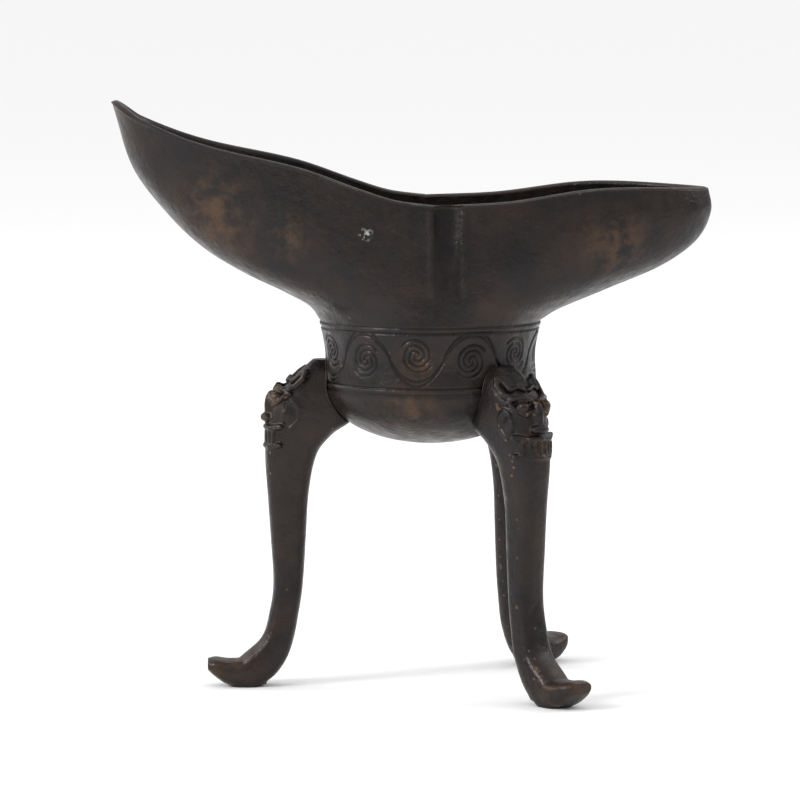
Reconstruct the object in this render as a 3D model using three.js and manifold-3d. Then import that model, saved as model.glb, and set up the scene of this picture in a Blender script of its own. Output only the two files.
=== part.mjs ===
// A small cast bronze jue in the archaistic style: a bowl with spout and tail on three masked legs.
// Millimetres, +Z up. The spout points along -X and the tail along +X, and the soles rest on z = 0.

import * as THREE from 'three';
import { mergeVertices } from 'three/addons/utils/BufferGeometryUtils.js';
import Module from 'manifold-3d';

const wasm = await Module();
wasm.setup();

// Driving sizes of the bowl
const SPOUT_REACH = 81;
const TAIL_REACH = 71.8;
const BOWL_BOTTOM_Z = 62.6;
const BAND_BOTTOM_Z = 77.7;
const NECK_Z = 94.3;
const RIM_Z = 124.6;
const SPOUT_RISE = 25.4;
const TAIL_RISE = 3.8;
const BAND_RADIUS = 27.2;
const NECK_RADIUS = 28.4;
const RIM_HALF_WIDTH = 26;
const WALL = 2.6;
const LIP_CROWN = 0.5;
const TAIL_POINT = 0.3;

// Driving sizes of the post seats
const SEAT_WIDTH = 7.7;
const SEAT_DEPTH = 1.8;
const SEAT_X = 3.3;
const SEAT_BOTTOM_Z = 101.5;

// Driving sizes of the legs
const FRONT_LEG_ANGLE = -51;
const REAR_LEG_ANGLE = 51;
const SPOUT_LEG_ANGLE = 180;
const HIP_TOP_Z = 86;
const TOE_REACH = 57;

// Driving sizes of the joints
const GAP = 0.3;
const SOLDER_THICKNESS = 0.6;
const SOLDER_SPREAD = 0.8;
const TENON_RADIUS = 1.6;
const TENON_Z = 80.5;
const TENON_DEPTH_IN_WALL = 1.5;
const TENON_LENGTH = 6;

// How finely the round forms are divided
const AROUND_BOWL = 48;
const AROUND_LEG = 16;

// The frame's origin is the middle of the bounding box's bottom
const SHIFT_X = (SPOUT_REACH - TAIL_REACH) / 2;

// Keel lines, as [share of the height from neck to tip, share of the reach beyond the neck]
const SPOUT_KEEL = [
  [0, 0], [0.065, 0.053], [0.138, 0.194], [0.212, 0.359],
  [0.321, 0.548], [0.469, 0.719], [0.688, 0.894], [1, 1],
];
const TAIL_KEEL = [
  [0, 0], [0.08, 0.106], [0.224, 0.382], [0.4, 0.705], [0.58, 0.905], [0.81, 1], [1, 0.98],
];

// Rim line, as [share of the reach, share of the rise]
const SPOUT_RIM = [[0, 0], [0.12, 0.05], [0.22, 0.146], [0.42, 0.366], [0.73, 0.594], [0.926, 0.835], [1, 1]];
const TAIL_RIM = [[0, 0], [0.26, 0.21], [0.6, 1], [1, 0.86]];

// A smooth line through a few stations
function through(stations, x) {
  const last = stations.length - 1;
  if (x <= stations[0][0]) return stations[0][1];
  if (x >= stations[last][0]) return stations[last][1];
  let i = 0;
  while (x > stations[i + 1][0]) i += 1;
  const slope = (k) => {
    const a = stations[Math.max(k - 1, 0)];
    const b = stations[Math.min(k + 1, last)];
    return (b[1] - a[1]) / (b[0] - a[0]);
  };
  const [x0, y0] = stations[i];
  const [x1, y1] = stations[i + 1];
  const h = x1 - x0;
  const t = (x - x0) / h;
  const rise = (3 - 2 * t) * t * t;
  const start = t * (1 - t) * (1 - t) * h * slope(i);
  const end = t * t * (t - 1) * h * slope(i + 1);
  return y0 + (y1 - y0) * rise + start + end;
}

// Rows of points joined into one closed skin, with a pole at the middle of the first and last row
function closedLoft(rows) {
  const n = rows[0].length;
  const middle = (row) => row.reduce((a, p) => a.add(p), new THREE.Vector3()).divideScalar(n);
  const points = [middle(rows[0]), ...rows.flat(), middle(rows[rows.length - 1])];
  const faces = [];
  const at = (row, k) => 1 + row * n + (k % n);
  const lastPole = points.length - 1;
  for (let k = 0; k < n; k += 1) {
    faces.push([0, at(0, k + 1), at(0, k)]);
    faces.push([lastPole, at(rows.length - 1, k), at(rows.length - 1, k + 1)]);
    for (let row = 0; row < rows.length - 1; row += 1) {
      faces.push([at(row, k), at(row, k + 1), at(row + 1, k + 1)]);
      faces.push([at(row, k), at(row + 1, k + 1), at(row + 1, k)]);
    }
  }
  const volume = faces.reduce((sum, [a, b, c]) => {
    const cross = new THREE.Vector3().crossVectors(points[b], points[c]);
    return sum + points[a].dot(cross);
  }, 0);
  const facing = volume < 0 ? faces.map(([a, b, c]) => [a, c, b]) : faces;
  const geometry = new THREE.BufferGeometry().setFromPoints(points);
  geometry.setIndex(facing.flat());
  return geometry;
}

// three.js geometry to a solid for booleans, and back
function toSolid(geometry) {
  const bare = geometry.clone();
  bare.deleteAttribute('normal');
  bare.deleteAttribute('uv');
  const merged = mergeVertices(bare, 1e-4);
  const mesh = new wasm.Mesh({
    numProp: 3,
    vertProperties: Float32Array.from(merged.attributes.position.array),
    triVerts: Uint32Array.from(merged.index.array),
  });
  return new wasm.Manifold(mesh);
}

function toGeometry(solid) {
  const mesh = solid.getMesh();
  const geometry = new THREE.BufferGeometry();
  geometry.setAttribute('position', new THREE.BufferAttribute(Float32Array.from(mesh.vertProperties), 3));
  geometry.setIndex(Array.from(mesh.triVerts));
  geometry.computeVertexNormals();
  return geometry;
}

// The bowl below the neck is round
function lowerRow(radius, z) {
  const row = [];
  for (let k = 0; k < AROUND_BOWL; k += 1) {
    const a = (2 * Math.PI * k) / AROUND_BOWL;
    row.push(new THREE.Vector3(radius * Math.cos(a), radius * Math.sin(a), z));
  }
  return row;
}

function bandRadius(z) {
  const middle = (BAND_BOTTOM_Z + NECK_Z) / 2;
  return through([[BAND_BOTTOM_Z, BAND_RADIUS], [middle, BAND_RADIUS - 0.4], [NECK_Z, NECK_RADIUS]], z);
}

function lowerRows(inset) {
  const rows = [];
  const radius = BAND_RADIUS - inset;
  const depth = BAND_BOTTOM_Z - BOWL_BOTTOM_Z - inset;
  for (const degrees of [10, 25, 40, 55, 70]) {
    const t = THREE.MathUtils.degToRad(degrees);
    rows.push(lowerRow(radius * Math.sin(t), BAND_BOTTOM_Z - depth * Math.cos(t)));
  }
  for (const share of [0, 0.33, 0.66, 0.92]) {
    const z = BAND_BOTTOM_Z + (NECK_Z - BAND_BOTTOM_Z) * share;
    rows.push(lowerRow(bandRadius(z) - inset, z));
  }
  return rows;
}

// The bowl above the neck flares into the spout and the tail
function rimHeight(c) {
  if (c < 0) return RIM_Z + SPOUT_RISE * through(SPOUT_RIM, -c);
  return RIM_Z + TAIL_RISE * through(TAIL_RIM, c);
}

function flarePoint(angle, share, inset) {
  const c = Math.cos(angle);
  const s = Math.sin(angle);
  const reach = c < 0 ? SPOUT_REACH : TAIL_REACH;
  const keel = c < 0 ? SPOUT_KEEL : TAIL_KEEL;
  const keelHeight = rimHeight(Math.sign(c)) - NECK_Z;
  const keelRadius = (u) => NECK_RADIUS + (reach - NECK_RADIUS) * through(keel, u);
  const step = 0.02;
  const run = keelRadius(Math.min(share + step, 1)) - keelRadius(Math.max(share - step, 0));
  const climb = keelHeight * (Math.min(share + step, 1) - Math.max(share - step, 0));
  const slant = Math.hypot(run, climb);
  const lift = inset * (run / slant) * c * c * (1 - share ** 3) * Math.min(share / 0.1, 1);
  const inward = inset * (climb / slant) * c * c + inset * s * s;
  const point = c < 0 ? 1 : 1 + TAIL_POINT * share;
  const side = NECK_RADIUS + (RIM_HALF_WIDTH - NECK_RADIUS) * share - inset;
  return new THREE.Vector3(
    c * (keelRadius(share) - inward),
    Math.sign(s) * Math.abs(s) ** point * side,
    NECK_Z + (rimHeight(c) - NECK_Z) * share + lift,
  );
}

function flareRow(share, inset, crown = 0) {
  const row = [];
  for (let k = 0; k < AROUND_BOWL; k += 1) {
    const point = flarePoint((2 * Math.PI * k) / AROUND_BOWL, share, inset);
    point.z += crown;
    row.push(point);
  }
  return row;
}

function bowlSkin() {
  const shares = [0, 0.04, 0.08, 0.13, 0.18, 0.24, 0.32, 0.42, 0.54, 0.68, 0.84];
  const outer = [...lowerRows(0), ...shares.map((share) => flareRow(share, 0)), flareRow(1, 0, -LIP_CROWN)];
  const lip = [flareRow(1, 0.7), flareRow(1, WALL - 0.7)];
  const inner = [...lowerRows(WALL), ...shares.map((share) => flareRow(share, WALL)), flareRow(1, WALL, -LIP_CROWN)];
  return closedLoft([...outer, ...lip, ...inner.reverse()]);
}

// A half-round seat for a post in each side wall, deepest at the rim and running out below
function seatCutter(side) {
  const radius = SEAT_WIDTH ** 2 / (8 * SEAT_DEPTH) + SEAT_DEPTH / 2;
  const above = 12;
  const climb = RIM_Z - SEAT_BOTTOM_Z;
  const sideAtBottom = NECK_RADIUS + (RIM_HALF_WIDTH - NECK_RADIUS) * ((SEAT_BOTTOM_Z - NECK_Z) / (RIM_Z - NECK_Z));
  const lean = Math.atan2(sideAtBottom - (RIM_HALF_WIDTH - SEAT_DEPTH), climb);
  const cutter = new THREE.CylinderGeometry(radius, radius, climb + 2 * above, 32);
  cutter.rotateX(Math.PI / 2);
  cutter.translate(0, -radius, climb / 2);
  cutter.rotateX(-lean);
  cutter.translate(SEAT_X, -sideAtBottom, SEAT_BOTTOM_Z);
  if (side > 0) cutter.rotateZ(Math.PI).translate(2 * SEAT_X, 0, 0);
  return toSolid(cutter);
}

// A round body round the bowl's axis that follows the bowl's lower outside at a distance
function bowlEnvelope(distance) {
  const profile = [new THREE.Vector2(0, BOWL_BOTTOM_Z - distance)];
  const depth = BAND_BOTTOM_Z - BOWL_BOTTOM_Z + distance;
  for (const degrees of [10, 25, 40, 55, 70, 80]) {
    const t = THREE.MathUtils.degToRad(degrees);
    profile.push(new THREE.Vector2((BAND_RADIUS + distance) * Math.sin(t), BAND_BOTTOM_Z - depth * Math.cos(t)));
  }
  for (const share of [0, 0.33, 0.66, 0.92]) {
    const z = BAND_BOTTOM_Z + (NECK_Z - BAND_BOTTOM_Z) * share;
    profile.push(new THREE.Vector2(bandRadius(z) + distance, z));
  }
  profile.push(new THREE.Vector2(0, profile[profile.length - 1].y));
  profile.push(profile[0].clone());
  const geometry = new THREE.LatheGeometry(profile.reverse(), AROUND_BOWL);
  geometry.rotateX(Math.PI / 2);
  const solid = toSolid(geometry);
  return solid.volume() < 0 ? toSolid(geometry.scale(1, -1, 1)) : solid;
}

// A leg's level section: a soft rectangle between two radii
function levelSection(z, inner, outer, halfWidth) {
  const row = [];
  const middle = (inner + outer) / 2;
  for (let k = 0; k < AROUND_LEG; k += 1) {
    const a = (2 * Math.PI * k) / AROUND_LEG;
    const x = Math.sign(Math.cos(a)) * Math.abs(Math.cos(a)) ** 0.55;
    const y = Math.sign(Math.sin(a)) * Math.abs(Math.sin(a)) ** 0.55;
    row.push(new THREE.Vector3(middle + x * (outer - inner) * 0.5, y * halfWidth, z));
  }
  return row;
}

// A toe's upright section: a soft rectangle between two heights
function uprightSection(radius, low, high, halfWidth) {
  return levelSection(radius, low, high, halfWidth).map((p) => new THREE.Vector3(p.z, p.y, p.x));
}

// The leg's shaft and hip, as [height, inner radius, outer radius, half width]
function shaft(extra) {
  const stations = [
    [0, 43.5, 51, 4.2], [3, 39.6, 52, 4.8], [7, 36.8, 49, 4.8], [12, 35, 43.5, 4.6],
    [18, 33.8, 41.4, 4.4], [26, 32.6, 40.2, 4.2], [38, 31.8, 40.8, 4.3], [50, 31, 41.6, 4.5],
    [60, 28.8, 42.2, 5.4], [65, 24.8, 41.6, 6.2], [68.5, 20, 41, 6.6], [74, 20, 39.8, 6.6],
    [78, 21, 36.6, 6.3], [82, 22, 33.2, 5.4], [HIP_TOP_Z, 23, 30.4, 3.4],
  ];
  const rows = stations.map(([z, inner, outer, halfWidth]) =>
    levelSection(z + (z > BOWL_BOTTOM_Z ? extra : 0), inner, outer, halfWidth + extra));
  return toSolid(closedLoft(rows));
}

// The toe turns up, as [radius, low, high, half width]
function toe() {
  const stations = [
    [42, 0.4, 9, 4.5], [48, 0, 7.2, 4.9], [52, 0.5, 7, 4.9], [55, 2.4, 7.4, 4.5], [TOE_REACH, 4.2, 7, 3.4],
  ];
  return toSolid(closedLoft(stations.map((station) => uprightSection(...station))));
}

// The mask's raised features, as [radius, side, height, then half sizes out, across and up]
function maskFeatures() {
  const single = [[40.6, 0, 71.4, 2.4, 1.9, 3.6], [39.8, 0, 66.4, 3, 6, 1.5]];
  const paired = [
    [38.7, 3.5, 75, 2, 1.8, 1.7],
    [36.8, 3.7, 78, 2, 3, 1.1],
    [32.6, 6.2, 80.4, 2.6, 1.4, 3.6],
    [36, 6.3, 69.6, 2.8, 1.3, 2.8],
  ];
  const mirrored = paired.map(([r, t, ...rest]) => [r, -t, ...rest]);
  return [...single, ...paired, ...mirrored].map(([r, t, z, out, across, up]) => {
    const bump = new THREE.SphereGeometry(1, 10, 6);
    bump.scale(out, across, up).translate(r, t, z);
    return toSolid(bump);
  });
}

function tenon(radius, start, end) {
  const pin = new THREE.CylinderGeometry(radius, radius, end - start, 16);
  pin.rotateZ(Math.PI / 2).translate((start + end) / 2, 0, TENON_Z);
  return toSolid(pin);
}

const material = (color, roughness, metalness) => new THREE.MeshStandardMaterial({ color, roughness, metalness });
const BRONZE = [0x352c27, 0.46, 0.8];
const TENON_METAL = [0x6b4f2e, 0.5, 0.85];
const SOLDER = [0x4a4844, 0.6, 0.6];

const group = new THREE.Group();
group.name = 'jue';

function addPiece(name, solid, finish, degrees = 0) {
  const mesh = new THREE.Mesh(toGeometry(solid), material(...finish));
  mesh.name = name;
  mesh.rotation.z = THREE.MathUtils.degToRad(degrees);
  mesh.position.x = SHIFT_X;
  group.add(mesh);
}

// The pin's two ends: blind in the bowl's wall, and in the leg
const pinStart = bandRadius(TENON_Z) - TENON_DEPTH_IN_WALL;
const pinEnd = pinStart + TENON_LENGTH;
const pin = tenon(TENON_RADIUS, pinStart, pinEnd);
const pinHole = tenon(TENON_RADIUS + GAP, pinStart - GAP, pinEnd + GAP);

// One leg and one solder pad serve all three places
const hip = shaft(0);
const legBlank = maskFeatures().reduce((solid, bump) => solid.add(bump), hip.add(toe()));
const leg = legBlank.subtract(bowlEnvelope(2 * GAP + SOLDER_THICKNESS)).subtract(pinHole);
const solderSheet = bowlEnvelope(GAP + SOLDER_THICKNESS).subtract(bowlEnvelope(GAP));
const solder = shaft(SOLDER_SPREAD).intersect(solderSheet).subtract(pinHole);

const places = [
  ['front_leg', FRONT_LEG_ANGLE],
  ['rear_leg', REAR_LEG_ANGLE],
  ['spout_side_leg', SPOUT_LEG_ANGLE],
];

let bowl = toSolid(bowlSkin()).subtract(seatCutter(-1)).subtract(seatCutter(1));
for (const [, degrees] of places) {
  bowl = bowl.subtract(pinHole.rotate([0, 0, degrees]));
}
addPiece('bowl_casting', bowl, BRONZE);
for (const [name, degrees] of places) {
  addPiece(name, leg, BRONZE, degrees);
  addPiece(`${name}_tenon`, pin, TENON_METAL, degrees);
  addPiece(`${name}_solder`, solder, SOLDER, degrees);
}

export default group;
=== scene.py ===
"""The jue's looks: a fine bowl with an incised scroll band, masked legs and a dark, worn patina.

It stands on a pale floor in soft light. Shapes are in millimetres, and what says so is in metres.
"""

import math

import bmesh
import bpy
import numpy as np
from mathutils import Matrix, Vector, kdtree


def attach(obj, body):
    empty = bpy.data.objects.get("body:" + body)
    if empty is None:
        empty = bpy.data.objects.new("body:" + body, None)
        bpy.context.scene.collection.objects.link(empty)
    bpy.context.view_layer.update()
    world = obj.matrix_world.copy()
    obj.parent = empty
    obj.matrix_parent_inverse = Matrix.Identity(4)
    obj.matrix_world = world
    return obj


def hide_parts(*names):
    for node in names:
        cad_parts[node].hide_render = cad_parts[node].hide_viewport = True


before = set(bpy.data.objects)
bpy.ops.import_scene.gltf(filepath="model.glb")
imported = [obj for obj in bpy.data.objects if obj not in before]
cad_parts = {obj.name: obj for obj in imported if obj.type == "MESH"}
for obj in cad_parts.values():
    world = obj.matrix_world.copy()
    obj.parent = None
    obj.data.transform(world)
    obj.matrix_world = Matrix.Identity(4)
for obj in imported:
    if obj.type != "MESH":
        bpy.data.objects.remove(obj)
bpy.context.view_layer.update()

MM = 0.001
TINY = 1e-6

# The bowl's sizes, as in the part's source
SPOUT_REACH = 81
TAIL_REACH = 71.8
BOWL_BOTTOM_Z = 62.6
BAND_BOTTOM_Z = 77.7
NECK_Z = 94.3
RIM_Z = 124.6
SPOUT_RISE = 25.4
TAIL_RISE = 3.8
BAND_RADIUS = 27.2
BAND_WAIST = 0.4
NECK_RADIUS = 28.4
RIM_HALF_WIDTH = 26
WALL = 2.6
LIP_CROWN = 0.5
TAIL_POINT = 0.3
SHIFT_X = (SPOUT_REACH - TAIL_REACH) / 2

# The keels of the spout and the tail, as (share of the height, share of the reach)
SPOUT_KEEL = [(0, 0), (0.065, 0.053), (0.138, 0.194), (0.212, 0.359),
              (0.321, 0.548), (0.469, 0.719), (0.688, 0.894), (1, 1)]
TAIL_KEEL = [(0, 0), (0.08, 0.106), (0.224, 0.382), (0.4, 0.705), (0.58, 0.905), (0.81, 1), (1, 0.98)]

# The rim towards the spout and the tail, as (share of the way out, share of the rise)
SPOUT_RIM = [(0, 0), (0.12, 0.05), (0.22, 0.146), (0.42, 0.366), (0.73, 0.594), (0.926, 0.835), (1, 1)]
TAIL_RIM = [(0, 0), (0.26, 0.21), (0.6, 1), (1, 0.86)]

# Shares of the height: over which the keel's slope is taken, and at which its inner face is fully lifted
SLOPE_STEP = 0.02
FULL_LIFT = 0.1

# The post seats, half-round grooves that deepen from their foot to just above the rim
SEAT_WIDTH = 7.7
SEAT_DEPTH = 1.8
SEAT_X = 3.3
SEAT_BOTTOM_Z = 101.5
SEAT_LAST_SHARE = 1.1

# Their raised edges, which grow from nothing at the foot and are low at the top
EDGE_RISE = 0.6
EDGE_OFFSET = 0.3
EDGE_SPREAD = 0.6
EDGE_GROWTH = 6
EDGE_TOP = 0.93
EDGE_TOP_SHARE = 0.3

# Their painted shade, which stands for the shadow deep in the groove's top: how dark it is, how far from the
# edges and the rim it ends, and how it grows upwards
SEAT_PAINTED_SHADE = 0.95
SEAT_SHADE_MARGIN = 0.3
SEAT_SHADE_BELOW_RIM = 1
SEAT_SHADE_POWER = 0.5

# The incised band: its lines, the rings above and below, and the scroll of spirals and waves between them
LINE_DEPTH = 0.4
LINE_HALF_WIDTH = 0.5
RING_HEIGHTS = (94.0, 92.5, 78.6, 77.2)
CUT_FROM_Z = RING_HEIGHTS[-1] - 1
SPIRALS = 12
SPIRAL_RADIUS = 4.4
SPIRAL_CORE = 0.1
SPIRAL_HALF_TURNS = 2.8
SPIRAL_Z = 86.2
SPIRAL_STAGGER = 0.8
FIRST_SPIRAL_DEGREES = -99.5
WAVE_HEIGHTS = (6.9, 5.7)
WAVE_POWER = 0.75

# The cast skin's slow ripple: its depth, its waves in radians to the millimetre, their starts in radians,
# and how large the upright wave is beside the level one
RIPPLE_DEPTH = 0.12
RIPPLE_X = 0.21
RIPPLE_Y = 0.33
RIPPLE_Z = 0.47
RIPPLE_LEAN = 0.19
RIPPLE_START_X = 1.3
RIPPLE_START_Y = 0.4
RIPPLE_Z_SHARE = 0.6

# How finely the bowl is divided: its bottom between two angles from straight down, its band up to a share
# of the band's height, and its flare in rows drawn together towards the neck
AROUND_BOWL = 720
BOTTOM_ROWS = 26
BOTTOM_FROM_DEGREES = 3
BOTTOM_TO_DEGREES = 88
BAND_ROWS = 76
BAND_LAST_SHARE = 0.985
FLARE_ROWS = 90
LIP_ROWS = 9
INNER_BAND_ROWS = 12
INNER_FLARE_ROWS = 40
ROW_POWER = 1.25
SPIRAL_STEPS = 120
WAVE_STEPS = 90

# The legs, each with its place round the bowl in degrees, and how far their hips stand off the bowl
LEGS = (("front_leg", -51), ("rear_leg", 51), ("spout_side_leg", 180))
SEAM = 0.15
HIP_TOP_Z = 84

# How finely a leg is divided, and how its cast skin is softened
AROUND_LEG = 40
CORNER_POWER = 0.72
LEG_SECTIONS = 120
TOE_SECTIONS = 30
BALL_DETAIL = 3
LINE_DETAIL = 2
LINE_STEP = 0.5
LEG_VOXEL = 0.3
SOFTENING = 0.5
SOFTENING_ROUNDS = 2

# The leg from its sole to its hip, as (height, inner radius, outer radius, half width)
LEG_PROFILE = [
    (0, 43.5, 51, 4.2), (3, 39.6, 52, 4.8), (7, 36.8, 49, 4.8), (12, 35, 43.5, 4.6),
    (18, 33.8, 41.4, 4.4), (26, 32.6, 40.2, 4.2), (38, 31.8, 40.8, 4.3), (50, 31, 41.6, 4.5),
    (60, 28.8, 42.2, 5.4), (65, 24.8, 41.6, 6.2), (68.5, 20, 41, 6.6), (74, 20, 39.8, 6.6),
    (77.5, 21, 36.6, 6.3), (81, 22, 33.2, 5.2), (HIP_TOP_Z, 23, 30, 3),
]

# The toe, as (radius, underside, top, half width)
TOE_PROFILE = [
    (42, 0.4, 9, 4.5), (48, 0, 7.2, 4.9), (52, 0.5, 7, 4.9), (55, 2.4, 7.4, 4.5), (57, 4.2, 7, 3.4),
]

# The mask's nose, as (radius, side, height, half sizes outwards, across and upwards)
MIDDLE_BUMPS = [(40.4, 0, 72, 2, 1.5, 4.2), (41.6, 0, 69.2, 1.8, 2.3, 1.3)]

# Its eyes, nostrils and cheeks
PAIRED_BUMPS = [
    (39.0, 3.6, 74.6, 1.9, 1.6, 1.5),
    (41.2, 1.8, 69, 1.4, 1.0, 0.9),
    (36, 5.9, 70, 2.2, 0.7, 2.4),
]

# Its raised lines, as (half thickness, [(radius, side, height), ...]): eyelids, brows, forehead curls,
# ears and cheek scrolls, and last the thin ridges down the shaft
PAIRED_LINES = [
    (0.5, [(40.2, 1.6, 73.4), (40.2, 3.4, 72.5), (38.8, 5.4, 73.6), (37.4, 6.4, 75.2)]),
    (0.7, [(39.6, 1.3, 76.2), (38.8, 3.2, 77.3), (37.4, 5.2, 76.6), (36, 6.4, 75.6)]),
    (0.6, [(36.4, 0.8, 78.6), (35.6, 2.6, 79.4), (35.4, 4.2, 78.6)]),
    (0.8, [(36.6, 5.2, 76.8), (34.6, 6.4, 77.6), (32.6, 6.8, 79.6),
           (31.6, 6, 81.4), (33, 4.8, 80.6), (35, 4.4, 78.8)]),
    (0.5, [(36, 6.2, 66.6), (33.6, 6.4, 69), (33.4, 6.3, 72),
           (35, 6.2, 73.8), (36.8, 6, 72.6), (36.6, 6, 70.4)]),
    (0.45, [(39.9, 4, 66), (40, 3.5, 58), (39.8, 2.9, 50), (39.3, 2.7, 42)]),
]

# Its upper and lower lip
MIDDLE_LINES = [
    (0.75, [(38.4, -6.4, 67.2), (41, -3.6, 66.6), (42, 0, 66.8), (41, 3.6, 66.6), (38.4, 6.4, 67.2)]),
    (0.65, [(38.6, -6, 62.4), (41.2, -3.4, 62), (42.2, 0, 62), (41.2, 3.4, 62), (38.6, 6, 62.4)]),
]

# Its teeth, as (side, radius), between two heights
TEETH = [(-4.8, 40.2), (-3.2, 41.2), (-1.6, 41.8), (0, 42), (1.6, 41.8), (3.2, 41.2), (4.8, 40.2)]
TEETH_TOP_Z = 65.6
TEETH_BOTTOM_Z = 63
TOOTH_THICKNESS = 0.45

# The patina's colours
DARK = (0.014, 0.0115, 0.0115, 1)
BROWN = (0.05, 0.03, 0.02, 1)
GOLD = (0.17, 0.09, 0.042, 1)
PALE = (0.42, 0.45, 0.38, 1)
# Near-black for darkening the cut lines and for the painted shade in the post seats
LINE_DARK_AND_SEAT_SHADE = (0.004, 0.003, 0.003, 1)

# The patina's noises, as (waves to the metre, detail), and the levels between which each one comes in
CLOUD = (55, 6)
CLOUD_LEVELS = (0.42, 0.7)
WEAR = (160, 4)
WEAR_LEVELS = (0.35, 0.6)
PATCH = (210, 5)
PATCH_LEVELS = (0.42, 0.62)
FLECK = (900, 3)
FLECK_LEVELS = (0.5, 0.58)
GLOSS = (320, 6)
GLOSS_LEVELS = (0.3, 0.7)
GRAIN = (1300, 3)
SWELL = (150, 4)
NOISE_ROUGHNESS = 0.6
POINTINESS_LEVELS = (0.54, 0.66)
PITS_TO_THE_METRE = 700
PIT_LEVELS = (0, 0.22)

# How strongly each shows
BROWN_SHARE = 0.45
PATCH_SHARE = 0.33
# How dark the cut lines and the painted shade in the seats are made
LINE_DARK_AND_SEAT_SHADE_SHARE = 0.85
PIT_SHARE = 1.2
GRAIN_SHARE = 0.1
PATINA_METALLIC = 0.55
PATINA_ROUGHNESS = (0.27, 0.48)
BUMP_STRENGTH = 0.75
BUMP_METRES = 0.0007

# The tenons' plain cut bronze
CUT_COLOUR = (0.3, 0.17, 0.07, 1)
CUT_SHADE = 0.6
CUT_GRAIN = (300, 5)
CUT_GLOSS = (500, 4)
CUT_METALLIC = 0.6
CUT_ROUGHNESS = 0.45
CUT_ROUGHNESS_SPREAD = 0.1

# Worn patches and pale flecks, as (place on the piece, size) in metres, each full over a share of its size
BOWL_WORN = [
    ((-0.053, -0.014, 0.1227), 0.016), ((-0.036, -0.02, 0.117), 0.009), ((0.046, -0.018, 0.114), 0.012),
    ((-0.007, -0.025, 0.072), 0.011), ((-0.0046, -0.027, 0.085), 0.006),
]
BOWL_PALE = [((-0.017, -0.0255, 0.1175), 0.0022)]
LEG_WORN = [((0.052, 0, 0.007), 0.01), ((0.040, 0.003, 0.075), 0.006), ((0.041, 0, 0.066), 0.006)]
PATCH_CORE = 0.2

# The camera, as the photograph saw the jue: metres, degrees, and millimetres for the lens and sensor
CAMERA_DISTANCE = 1.277
CAMERA_AZIMUTH = -2
CAMERA_ELEVATION = 5.6
CAMERA_TARGET = Vector((-0.0031, 0, 0.0734))
CAMERA_LENS = 225
CAMERA_SENSOR = 36
CAMERA_FAR = 60

# The light from all round: its level at the horizon, its level above, and how high that one starts
HORIZON_LEVEL = 0.27
TOP_LEVEL = 1.1
TOP_FROM = 0.7

# The lamps, as (name, place, size, watts), and the place that they point at, in metres
LAMPS = (
    ("key", (-1.3, -0.7, 0.9), 0.5, 13),
    ("rim_left", (-1.2, 0.5, 0.7), 0.6, 4),
    ("rim_right", (1.2, 0.3, 0.8), 0.6, 4),
)
LAMP_AIM = Vector((0, 0, 0.08))

# The floor, in metres
FLOOR_WIDTH = 40
FLOOR_COLOUR = (0.97, 0.97, 0.97, 1)
FLOOR_ROUGHNESS = 0.9
FLOOR_SPECULAR = 0.1


def through(stations, x):
    """A smooth line through a few stations."""
    last = len(stations) - 1
    if x <= stations[0][0]:
        return stations[0][1]
    if x >= stations[last][0]:
        return stations[last][1]
    i = 0
    while x > stations[i + 1][0]:
        i += 1

    def slope(k):
        a, b = stations[max(k - 1, 0)], stations[min(k + 1, last)]
        return (b[1] - a[1]) / (b[0] - a[0])

    (x0, y0), (x1, y1) = stations[i], stations[i + 1]
    h = x1 - x0
    t = (x - x0) / h
    start = t * (1 - t) ** 2 * h * slope(i)
    end = t * t * (t - 1) * h * slope(i + 1)
    return y0 + (y1 - y0) * (3 - 2 * t) * t * t + start + end


def each(stations, values):
    return np.array([through(stations, v) for v in values])


# The directions round the bowl, and the rim's height in each of them
ANGLES = np.arange(AROUND_BOWL) * 2 * math.pi / AROUND_BOWL
COS, SIN = np.cos(ANGLES), np.sin(ANGLES)
SPOUT_SIDE_RIM = RIM_Z + SPOUT_RISE * each(SPOUT_RIM, -COS)
TAIL_SIDE_RIM = RIM_Z + TAIL_RISE * each(TAIL_RIM, COS)
RIM = np.where(COS < 0, SPOUT_SIDE_RIM, TAIL_SIDE_RIM)


def band_radius(z):
    middle = (BAND_BOTTOM_Z + NECK_Z) / 2
    waist = (middle, BAND_RADIUS - BAND_WAIST)
    return through([(BAND_BOTTOM_Z, BAND_RADIUS), waist, (NECK_Z, NECK_RADIUS)], z)


def keel(stations, reach, tip_z, share, inset):
    """The keel's radius at a share of the height, and how far in and up its inner face lies."""
    def radius(u):
        return NECK_RADIUS + (reach - NECK_RADIUS) * through(stations, u)

    low, high = max(share - SLOPE_STEP, 0), min(share + SLOPE_STEP, 1)
    run = radius(high) - radius(low)
    climb = (tip_z - NECK_Z) * (high - low)
    slant = math.hypot(run, climb)
    lift = inset * run / slant * (1 - share ** 3) * min(share / FULL_LIFT, 1)
    return radius(share), inset * climb / slant, lift


def flare_row(share, inset, crown=0.0):
    """A row of the flaring bowl at a share of its height, moved in by an inset and up by a crown."""
    spout = keel(SPOUT_KEEL, SPOUT_REACH, RIM_Z + SPOUT_RISE, share, inset)
    tail = keel(TAIL_KEEL, TAIL_REACH, RIM_Z + TAIL_RISE * TAIL_RIM[-1][1], share, inset)
    radius, inward, lift = (np.where(COS < 0, a, b) for a, b in zip(spout, tail))
    point = np.where(COS < 0, 1, 1 + TAIL_POINT * share)
    side = NECK_RADIUS + (RIM_HALF_WIDTH - NECK_RADIUS) * share - inset
    x = COS * (radius - inward * COS ** 2 - inset * SIN ** 2)
    y = np.sign(SIN) * np.abs(SIN) ** point * side
    z = NECK_Z + (RIM - NECK_Z) * share + lift * COS ** 2 + crown
    return np.stack([x, y, z], 1)


def round_row(radius, z):
    return np.stack([radius * COS, radius * SIN, np.full(AROUND_BOWL, z)], 1)


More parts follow.
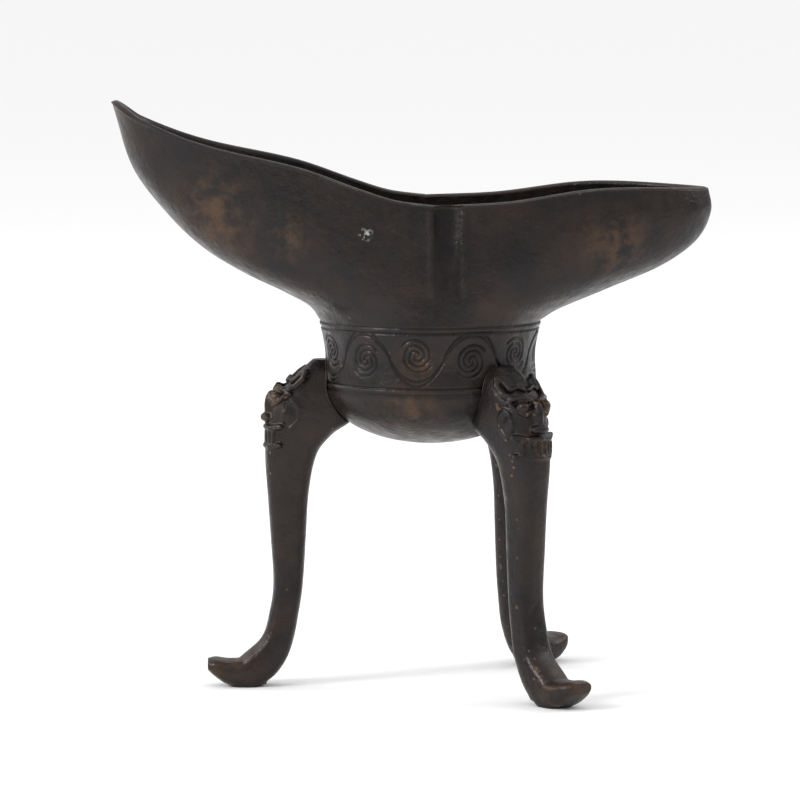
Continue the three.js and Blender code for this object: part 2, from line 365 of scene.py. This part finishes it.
def lower_rows(inset, bands):
    """The rows of the round bottom and of the band, from the lowest up."""
    rows = []
    depth = BAND_BOTTOM_Z - BOWL_BOTTOM_Z - inset
    for degrees in np.linspace(BOTTOM_FROM_DEGREES, BOTTOM_TO_DEGREES, BOTTOM_ROWS):
        t = math.radians(degrees)
        rows.append(round_row((BAND_RADIUS - inset) * math.sin(t), BAND_BOTTOM_Z - depth * math.cos(t)))
    for share in np.linspace(0, BAND_LAST_SHARE, bands):
        z = BAND_BOTTOM_Z + (NECK_Z - BAND_BOTTOM_Z) * share
        rows.append(round_row(band_radius(z) - inset, z))
    return rows


def spiral_lines():
    """The running scroll as points: two-armed spirals, high and low by turns, and the waves between them."""
    lines = []
    pitch = 2 * math.pi * BAND_RADIUS / SPIRALS
    start = math.radians(FIRST_SPIRAL_DEGREES) * BAND_RADIUS
    for k in range(SPIRALS):
        centre = start + pitch * k
        turn = 1 if k % 2 == 0 else -1
        z = SPIRAL_Z + SPIRAL_STAGGER * turn
        for arm in (0, math.pi):
            for step in range(SPIRAL_STEPS):
                t = step / (SPIRAL_STEPS - 1)
                angle = arm + turn * t * SPIRAL_HALF_TURNS * math.pi
                radius = SPIRAL_RADIUS * (SPIRAL_CORE + (1 - SPIRAL_CORE) * t)
                lines.append((centre + radius * math.cos(angle), z + radius * math.sin(angle)))
        for step in range(WAVE_STEPS):
            phase = math.pi * step / WAVE_STEPS
            swing = math.copysign(abs(math.cos(phase)) ** WAVE_POWER, math.cos(phase))
            for height in WAVE_HEIGHTS:
                lines.append((centre + pitch * step / WAVE_STEPS, SPIRAL_Z - turn * height * swing))
    return lines


def scroll_tree():
    """The scroll's points, as (way round the band, height), set out for finding the nearest."""
    lines = spiral_lines()
    tree = kdtree.KDTree(len(lines))
    around = 2 * math.pi * BAND_RADIUS
    for i, (s, z) in enumerate(lines):
        tree.insert(Vector(((s + around / 2) % around - around / 2, z, 0)), i)
    tree.balance()
    return tree


def incise(row, tree):
    """Pushes a band row in along the lines, and gives how deep each of its points is cut, from 0 to 1."""
    z = row[0, 2]
    ring = min(abs(z - height) for height in RING_HEIGHTS)
    in_scroll = RING_HEIGHTS[2] < z < RING_HEIGHTS[1]
    along = np.arctan2(row[:, 1], row[:, 0]) * BAND_RADIUS
    depth = np.zeros(AROUND_BOWL)
    for k in range(AROUND_BOWL):
        gap = ring
        if in_scroll:
            gap = min(gap, tree.find(Vector((along[k], z, 0)))[2])
        if gap < LINE_HALF_WIDTH:
            depth[k] = LINE_DEPTH * 0.5 * (1 + math.cos(math.pi * gap / LINE_HALF_WIDTH))
    radius = np.hypot(row[:, 0], row[:, 1])
    row[:, :2] *= ((radius - depth) / radius)[:, None]
    return depth / LINE_DEPTH


def seat(points):
    """The half-round post seats, cut into both sides below the rim."""
    radius = SEAT_WIDTH ** 2 / (8 * SEAT_DEPTH) + SEAT_DEPTH / 2
    share = np.clip((points[:, 2] - SEAT_BOTTOM_Z) / (RIM_Z - SEAT_BOTTOM_Z), 0, SEAT_LAST_SHARE)
    foot = NECK_RADIUS - (NECK_RADIUS - RIM_HALF_WIDTH) * (SEAT_BOTTOM_Z - NECK_Z) / (RIM_Z - NECK_Z)
    bed = foot + (RIM_HALF_WIDTH - SEAT_DEPTH - foot) * share
    off = points[:, 0] - SEAT_X
    limit = bed + radius - np.sqrt(np.clip(radius ** 2 - off ** 2, 0, None))
    cut = (np.abs(off) < radius) & (np.abs(points[:, 1]) > limit) & (share > 0)
    points[cut, 1] = np.sign(points[cut, 1]) * limit[cut]
    from_edge = np.abs(off) - SEAT_WIDTH / 2 - EDGE_OFFSET
    edge = EDGE_RISE * np.exp(-(from_edge / EDGE_SPREAD) ** 2) * np.clip(share * EDGE_GROWTH, 0, 1)
    edge[share > EDGE_TOP] *= EDGE_TOP_SHARE
    points[~cut, 1] += (np.sign(points[:, 1]) * edge)[~cut]
    return points


def uneven(points):
    """The cast skin isn't true: a slow ripple, which only goes in."""
    x, y, z = points.T.copy()
    wave = np.sin(RIPPLE_X * x + RIPPLE_START_X) * np.sin(RIPPLE_Y * y + RIPPLE_START_Y)
    wave += RIPPLE_Z_SHARE * np.sin(RIPPLE_Z * z + RIPPLE_LEAN * x)
    inward = RIPPLE_DEPTH * (1 + wave / (1 + RIPPLE_Z_SHARE))
    length = np.hypot(x, y) + TINY
    points[:, 0] -= inward * x / length
    points[:, 1] -= inward * y / length
    return points


def new_object(name, data):
    obj = bpy.data.objects.new(name, data)
    bpy.context.scene.collection.objects.link(obj)
    return obj


def loft(name, rows):
    """Rows joined into one closed skin with a pole at each end."""
    n = len(rows[0])
    points = np.concatenate([[np.mean(rows[0], axis=0)], *rows, [np.mean(rows[-1], axis=0)]]) * MM
    last = len(points) - 1
    last_row = 1 + (len(rows) - 1) * n
    faces = []
    for k in range(n):
        nxt = (k + 1) % n
        faces.append((0, 1 + nxt, 1 + k))
        faces.append((last, last_row + k, last_row + nxt))
        for r in range(len(rows) - 1):
            a, b = 1 + r * n, 1 + (r + 1) * n
            faces.append((a + k, a + nxt, b + nxt, b + k))
    mesh = bpy.data.meshes.new(name)
    mesh.from_pydata(points.tolist(), [], faces)
    mesh.validate()
    mesh.polygons.foreach_set("use_smooth", [True] * len(mesh.polygons))
    bm = bmesh.new()
    bm.from_mesh(mesh)
    bmesh.ops.recalc_face_normals(bm, faces=bm.faces)
    bm.to_mesh(mesh)
    bm.free()
    return mesh


def mark_line_dark_and_seat_shade(mesh, first, cuts):
    """Writes on each point how dark it is painted: along the cut lines, deepest where they are cut deepest,
    and with painted shade in the seats towards the rim.
    """
    line_dark_and_seat_shade = np.zeros(len(mesh.vertices))
    start = 1 + first * AROUND_BOWL
    lines = np.concatenate(cuts)
    line_dark_and_seat_shade[start:start + len(lines)] = lines
    co = np.zeros(len(line_dark_and_seat_shade) * 3)
    mesh.vertices.foreach_get("co", co)
    x, y, z = co.reshape(-1, 3).T / MM
    in_seat = np.abs(x - SEAT_X) < SEAT_WIDTH / 2 - SEAT_SHADE_MARGIN
    in_seat &= np.abs(y) > RIM_HALF_WIDTH - WALL + SEAT_SHADE_MARGIN
    height = np.clip((z - SEAT_BOTTOM_Z) / (RIM_Z - SEAT_BOTTOM_Z), 0, 1)
    # Painted shade in the seats, darker towards the rim, where the groove is deepest and lies in shadow
    seat_painted_shade = SEAT_PAINTED_SHADE * height ** SEAT_SHADE_POWER * (z < RIM_Z - SEAT_SHADE_BELOW_RIM)
    line_dark_and_seat_shade[in_seat] = np.maximum(line_dark_and_seat_shade, seat_painted_shade)[in_seat]
    # The line attribute holds the cut lines' darkening and the seats' painted shade
    mesh.attributes.new("line", "FLOAT", "POINT").data.foreach_set("value", line_dark_and_seat_shade)


def build_bowl():
    """The bowl's skin from its lowest point up the outside, over the lip and down the inside."""
    tree = scroll_tree()
    outer = lower_rows(0, BAND_ROWS)
    first = next(i for i, row in enumerate(outer) if row[0, 2] >= CUT_FROM_Z)
    cuts = [incise(row, tree) for row in outer[first:]]
    flare = [seat(uneven(flare_row(s, 0))) for s in np.linspace(0, 1, FLARE_ROWS)[:-1] ** ROW_POWER]
    lip = []
    for t in np.linspace(0, 1, LIP_ROWS):
        lip.append(seat(flare_row(1, WALL * t, LIP_CROWN * (math.sin(math.pi * t) - 1))))
    inner = lower_rows(WALL, INNER_BAND_ROWS)
    inner += [flare_row(s, WALL) for s in np.linspace(0, 1, INNER_FLARE_ROWS)[:-1] ** ROW_POWER]
    mesh = loft("bowl", outer + flare + lip + inner[::-1])
    mark_line_dark_and_seat_shade(mesh, first, cuts)
    return mesh


def soft_section(place, low, high, half_width):
    """A section with rounded corners across the line that the leg or its toe follows."""
    a = np.arange(AROUND_LEG) * 2 * math.pi / AROUND_LEG
    u = np.sign(np.cos(a)) * np.abs(np.cos(a)) ** CORNER_POWER
    v = np.sign(np.sin(a)) * np.abs(np.sin(a)) ** CORNER_POWER
    x = (low + high) / 2 + u * (high - low) / 2
    return np.stack([x, v * half_width, np.full(AROUND_LEG, place)], 1)


def fine_sections(stations, count):
    """Sections at even steps between the stations, on smooth lines."""
    places = np.linspace(stations[0][0], stations[-1][0], count)
    lines = [[(s[0], s[i]) for s in stations] for i in (1, 2, 3)]
    return [soft_section(p, *(through(line, p) for line in lines)) for p in places]


def add_ball(bm, centre, sizes):
    for v in bmesh.ops.create_icosphere(bm, subdivisions=BALL_DETAIL, radius=1)["verts"]:
        v.co = Vector([c * MM + p * s * MM for c, p, s in zip(centre, v.co, sizes)])


def add_line(bm, thickness, stops):
    """A raised line as a row of close balls, which the cast skin joins."""
    for a, b in zip(stops, stops[1:]):
        a, b = Vector(a), Vector(b)
        steps = max(2, int((b - a).length / (thickness * LINE_STEP)))
        for i in range(steps + 1):
            ball = bmesh.ops.create_icosphere(bm, subdivisions=LINE_DETAIL, radius=thickness * MM)
            for v in ball["verts"]:
                v.co += a.lerp(b, i / steps) * MM


def add_mask(bm):
    """The animal mask on the hip, with the ridges down the shaft."""
    for r, t, z, *sizes in MIDDLE_BUMPS:
        add_ball(bm, (r, t, z), sizes)
    for side in (1, -1):
        for r, t, z, *sizes in PAIRED_BUMPS:
            add_ball(bm, (r, side * t, z), sizes)
        for thickness, stops in PAIRED_LINES:
            add_line(bm, thickness, [(r, side * t, z) for r, t, z in stops])
    for thickness, stops in MIDDLE_LINES:
        add_line(bm, thickness, stops)
    for t, r in TEETH:
        add_line(bm, TOOTH_THICKNESS, [(r, t, TEETH_TOP_Z), (r, t, TEETH_BOTTOM_Z)])


def fit_to_bowl(points):
    """The hip's inner face follows the bowl's outside at the width of the soldered seam."""
    radius = np.hypot(points[:, 0], points[:, 1])
    drop = np.clip((BAND_BOTTOM_Z - points[:, 2]) / (BAND_BOTTOM_Z - BOWL_BOTTOM_Z + SEAM), 0, 1)
    bowl = (BAND_RADIUS + SEAM) * np.sqrt(1 - drop ** 2)
    above = points[:, 2] > BAND_BOTTOM_Z
    bowl[above] = [band_radius(z) + SEAM for z in points[above, 2]]
    inside = (radius < bowl) & (points[:, 2] > BOWL_BOTTOM_Z - SEAM)
    points[inside, :2] *= (bowl[inside] / radius[inside])[:, None]
    points[:, 2] = np.clip(points[:, 2], 0, None)
    return points


def build_leg():
    """A leg's mesh, out along +X: leg, toe and mask under one cast skin."""
    bm = bmesh.new()
    bm.from_mesh(loft("leg_body", fine_sections(LEG_PROFILE, LEG_SECTIONS)))
    bm.from_mesh(loft("leg_toe", [row[:, [2, 1, 0]] for row in fine_sections(TOE_PROFILE, TOE_SECTIONS)]))
    add_mask(bm)
    mesh = bpy.data.meshes.new("leg")
    bm.to_mesh(mesh)
    bm.free()
    obj = new_object("leg", mesh)
    remesh = obj.modifiers.new("cast", "REMESH")
    remesh.mode = "VOXEL"
    remesh.voxel_size = LEG_VOXEL * MM
    smooth = obj.modifiers.new("worn", "SMOOTH")
    smooth.factor = SOFTENING
    smooth.iterations = SOFTENING_ROUNDS
    shape = bpy.data.meshes.new_from_object(obj.evaluated_get(bpy.context.evaluated_depsgraph_get()))
    bpy.data.objects.remove(obj)
    co = np.zeros(len(shape.vertices) * 3)
    shape.vertices.foreach_get("co", co)
    co = fit_to_bowl(co.reshape(-1, 3) / MM) * MM
    shape.vertices.foreach_set("co", co.ravel())
    shape.polygons.foreach_set("use_smooth", [True] * len(shape.polygons))
    return shape


class Nodes:
    """A material's node tree, with short calls for what repeats."""

    def __init__(self, name):
        self.material = bpy.data.materials.new(name)
        self.material.use_nodes = True
        self.tree = self.material.node_tree
        self.shader = self.tree.nodes["Principled BSDF"]
        self.place = self.tree.nodes.new("ShaderNodeTexCoord").outputs["Object"]

    def feed(self, socket, value):
        """Links a socket to another node's output, or sets it to a plain value."""
        if isinstance(value, bpy.types.NodeSocket):
            self.tree.links.new(value, socket)
        else:
            socket.default_value = value

    def add(self, kind, **inputs):
        node = self.tree.nodes.new(kind)
        for key, value in inputs.items():
            self.feed(node.inputs[key.replace("_", " ")], value)
        return node

    def noise(self, kind):
        scale, detail = kind
        node = self.add("ShaderNodeTexNoise", Vector=self.place, Scale=scale, Detail=detail)
        self.feed(node.inputs["Roughness"], NOISE_ROUGHNESS)
        return node.outputs["Fac"]

    def ramp(self, value, low, high, to_low=0.0, to_high=1.0):
        node = self.add("ShaderNodeMapRange", Value=value, From_Min=low, From_Max=high)
        self.feed(node.inputs["To Min"], to_low)
        self.feed(node.inputs["To Max"], to_high)
        return node.outputs["Result"]

    def math(self, how, a, b):
        node = self.tree.nodes.new("ShaderNodeMath")
        node.operation = how
        self.feed(node.inputs[0], a)
        self.feed(node.inputs[1], b)
        return node.outputs[0]

    def mix(self, share, a, b):
        """Two colours mixed. The node keeps its share and its colours in inputs 0, 6 and 7."""
        node = self.tree.nodes.new("ShaderNodeMix")
        node.data_type = "RGBA"
        for index, value in ((0, share), (6, a), (7, b)):
            self.feed(node.inputs[index], value)
        return node.outputs[2]

    def near(self, centre, size):
        """1 close to a place on the piece, falling to 0 a size away."""
        node = self.tree.nodes.new("ShaderNodeVectorMath")
        node.operation = "DISTANCE"
        self.feed(node.inputs[0], self.place)
        self.feed(node.inputs[1], centre)
        return self.ramp(node.outputs["Value"], size, size * PATCH_CORE)

    def give(self, socket, value):
        """Sets one of the shader's own inputs."""
        self.feed(self.shader.inputs[socket], value)


def patina(name, worn_places, pale_places=(), lines=False):
    """Dark cast bronze: brown-black skin, golden brown where it is worn, pits, and a few pale flecks."""
    m = Nodes(name)
    edges = m.ramp(m.add("ShaderNodeNewGeometry").outputs["Pointiness"], *POINTINESS_LEVELS)
    brown = m.ramp(m.noise(CLOUD), *CLOUD_LEVELS)
    worn = m.math("MULTIPLY", edges, m.ramp(m.noise(WEAR), *WEAR_LEVELS))
    for centre, size in worn_places:
        patch = m.math("MULTIPLY", m.near(centre, size), m.ramp(m.noise(PATCH), *PATCH_LEVELS))
        worn = m.math("MAXIMUM", worn, m.math("MULTIPLY", patch, PATCH_SHARE))
    colour = m.mix(m.math("MULTIPLY", brown, BROWN_SHARE), DARK, BROWN)
    colour = m.mix(worn, colour, GOLD)
    for centre, size in pale_places:
        fleck = m.math("MULTIPLY", m.near(centre, size), m.ramp(m.noise(FLECK), *FLECK_LEVELS))
        colour = m.mix(fleck, colour, PALE)
    # Darkens the cut lines and paints shade into the post seats, from the line attribute
    if lines:
        cut = m.add("ShaderNodeAttribute")
        cut.attribute_name = "line"
        colour = m.mix(m.math("MULTIPLY", cut.outputs["Fac"], LINE_DARK_AND_SEAT_SHADE_SHARE), colour, LINE_DARK_AND_SEAT_SHADE)
    m.give("Base Color", colour)
    m.give("Metallic", PATINA_METALLIC)
    m.give("Roughness", m.ramp(m.noise(GLOSS), *GLOSS_LEVELS, *PATINA_ROUGHNESS))
    cells = m.add("ShaderNodeTexVoronoi", Vector=m.place, Scale=PITS_TO_THE_METRE).outputs["Distance"]
    pits = m.math("MULTIPLY", m.ramp(cells, *PIT_LEVELS), PIT_SHARE)
    grain = m.math("MULTIPLY", m.math("ADD", m.noise(GRAIN), pits), GRAIN_SHARE)
    height = m.math("ADD", grain, m.noise(SWELL))
    bump = m.add("ShaderNodeBump", Height=height, Strength=BUMP_STRENGTH, Distance=BUMP_METRES)
    m.give("Normal", bump.outputs["Normal"])
    return m.material


def cut_bronze():
    """Plain cut bronze, for the tenons that the legs and the bowl hide."""
    m = Nodes("cut_bronze")
    shade = tuple(c * CUT_SHADE for c in CUT_COLOUR[:3]) + (1,)
    m.give("Base Color", m.mix(m.noise(CUT_GRAIN), shade, CUT_COLOUR))
    m.give("Metallic", CUT_METALLIC)
    smoothest, roughest = CUT_ROUGHNESS - CUT_ROUGHNESS_SPREAD, CUT_ROUGHNESS + CUT_ROUGHNESS_SPREAD
    m.give("Roughness", m.ramp(m.noise(CUT_GLOSS), *GLOSS_LEVELS, smoothest, roughest))
    return m.material


def dress_bowl():
    bowl = new_object("bowl", build_bowl())
    bowl.location.x = SHIFT_X * MM
    bowl.data.materials.append(patina("bowl_patina_and_seat_shade", BOWL_WORN, BOWL_PALE, lines=True))
    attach(bowl, "root")
    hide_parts("bowl_casting")


def dress_legs():
    """Each leg stands for its solder seam too, because it sits close against the bowl."""
    shape = build_leg()
    bare = cut_bronze()
    for node, degrees in LEGS:
        turn = Matrix.Rotation(math.radians(degrees), 4, "Z")
        cast = shape.copy()
        cast.transform(turn)
        worn = [(turn @ Vector(place), size) for place, size in LEG_WORN]
        cast.materials.append(patina(node + "_patina", worn))
        leg = new_object(node + "_cast", cast)
        leg.location.x = SHIFT_X * MM
        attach(leg, "root")
        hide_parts(node, node + "_solder")
        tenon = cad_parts[node + "_tenon"].data
        tenon.materials.clear()
        tenon.materials.append(bare)


def floor():
    bpy.ops.mesh.primitive_plane_add(size=FLOOR_WIDTH)
    plane = bpy.context.object
    plane.name = "studio_floor"
    m = Nodes("studio_white")
    m.give("Base Color", FLOOR_COLOUR)
    m.give("Roughness", FLOOR_ROUGHNESS)
    m.give("Specular IOR Level", FLOOR_SPECULAR)
    plane.data.materials.append(m.material)


def lamp(name, place, size, watts):
    data = bpy.data.lights.new(name, "AREA")
    data.energy = watts
    data.size = size
    lamp_object = new_object(name, data)
    lamp_object.location = place
    lamp_object.rotation_euler = (LAMP_AIM - Vector(place)).to_track_quat("-Z", "Y").to_euler()


def surroundings():
    """Even light from all round, stronger from above."""
    world = bpy.data.worlds.new("studio")
    bpy.context.scene.world = world
    world.use_nodes = True
    nodes, links = world.node_tree.nodes, world.node_tree.links
    place = nodes.new("ShaderNodeTexCoord").outputs["Generated"]
    split = nodes.new("ShaderNodeSeparateXYZ")
    ramp = nodes.new("ShaderNodeMapRange")
    links.new(place, split.inputs[0])
    links.new(split.outputs["Z"], ramp.inputs["Value"])
    levels = {"From Min": 0, "From Max": TOP_FROM, "To Min": HORIZON_LEVEL, "To Max": TOP_LEVEL}
    for key, value in levels.items():
        ramp.inputs[key].default_value = value
    back = nodes["Background"]
    links.new(ramp.outputs["Result"], back.inputs["Color"])
    back.inputs["Strength"].default_value = 1


def camera():
    data = bpy.data.cameras.new("camera")
    data.lens = CAMERA_LENS
    data.sensor_width = CAMERA_SENSOR
    data.clip_end = CAMERA_FAR
    cam = new_object("camera", data)
    a, e = math.radians(CAMERA_AZIMUTH), math.radians(CAMERA_ELEVATION)
    away = Vector((math.sin(a) * math.cos(e), -math.cos(a) * math.cos(e), math.sin(e)))
    cam.location = CAMERA_TARGET + away * CAMERA_DISTANCE
    cam.rotation_euler = (-away).to_track_quat("-Z", "Y").to_euler()
    bpy.context.scene.camera = cam


dress_bowl()
dress_legs()
floor()
surroundings()
for settings in LAMPS:
    lamp(*settings)
bpy.context.scene.view_settings.view_transform = "Standard"
camera()
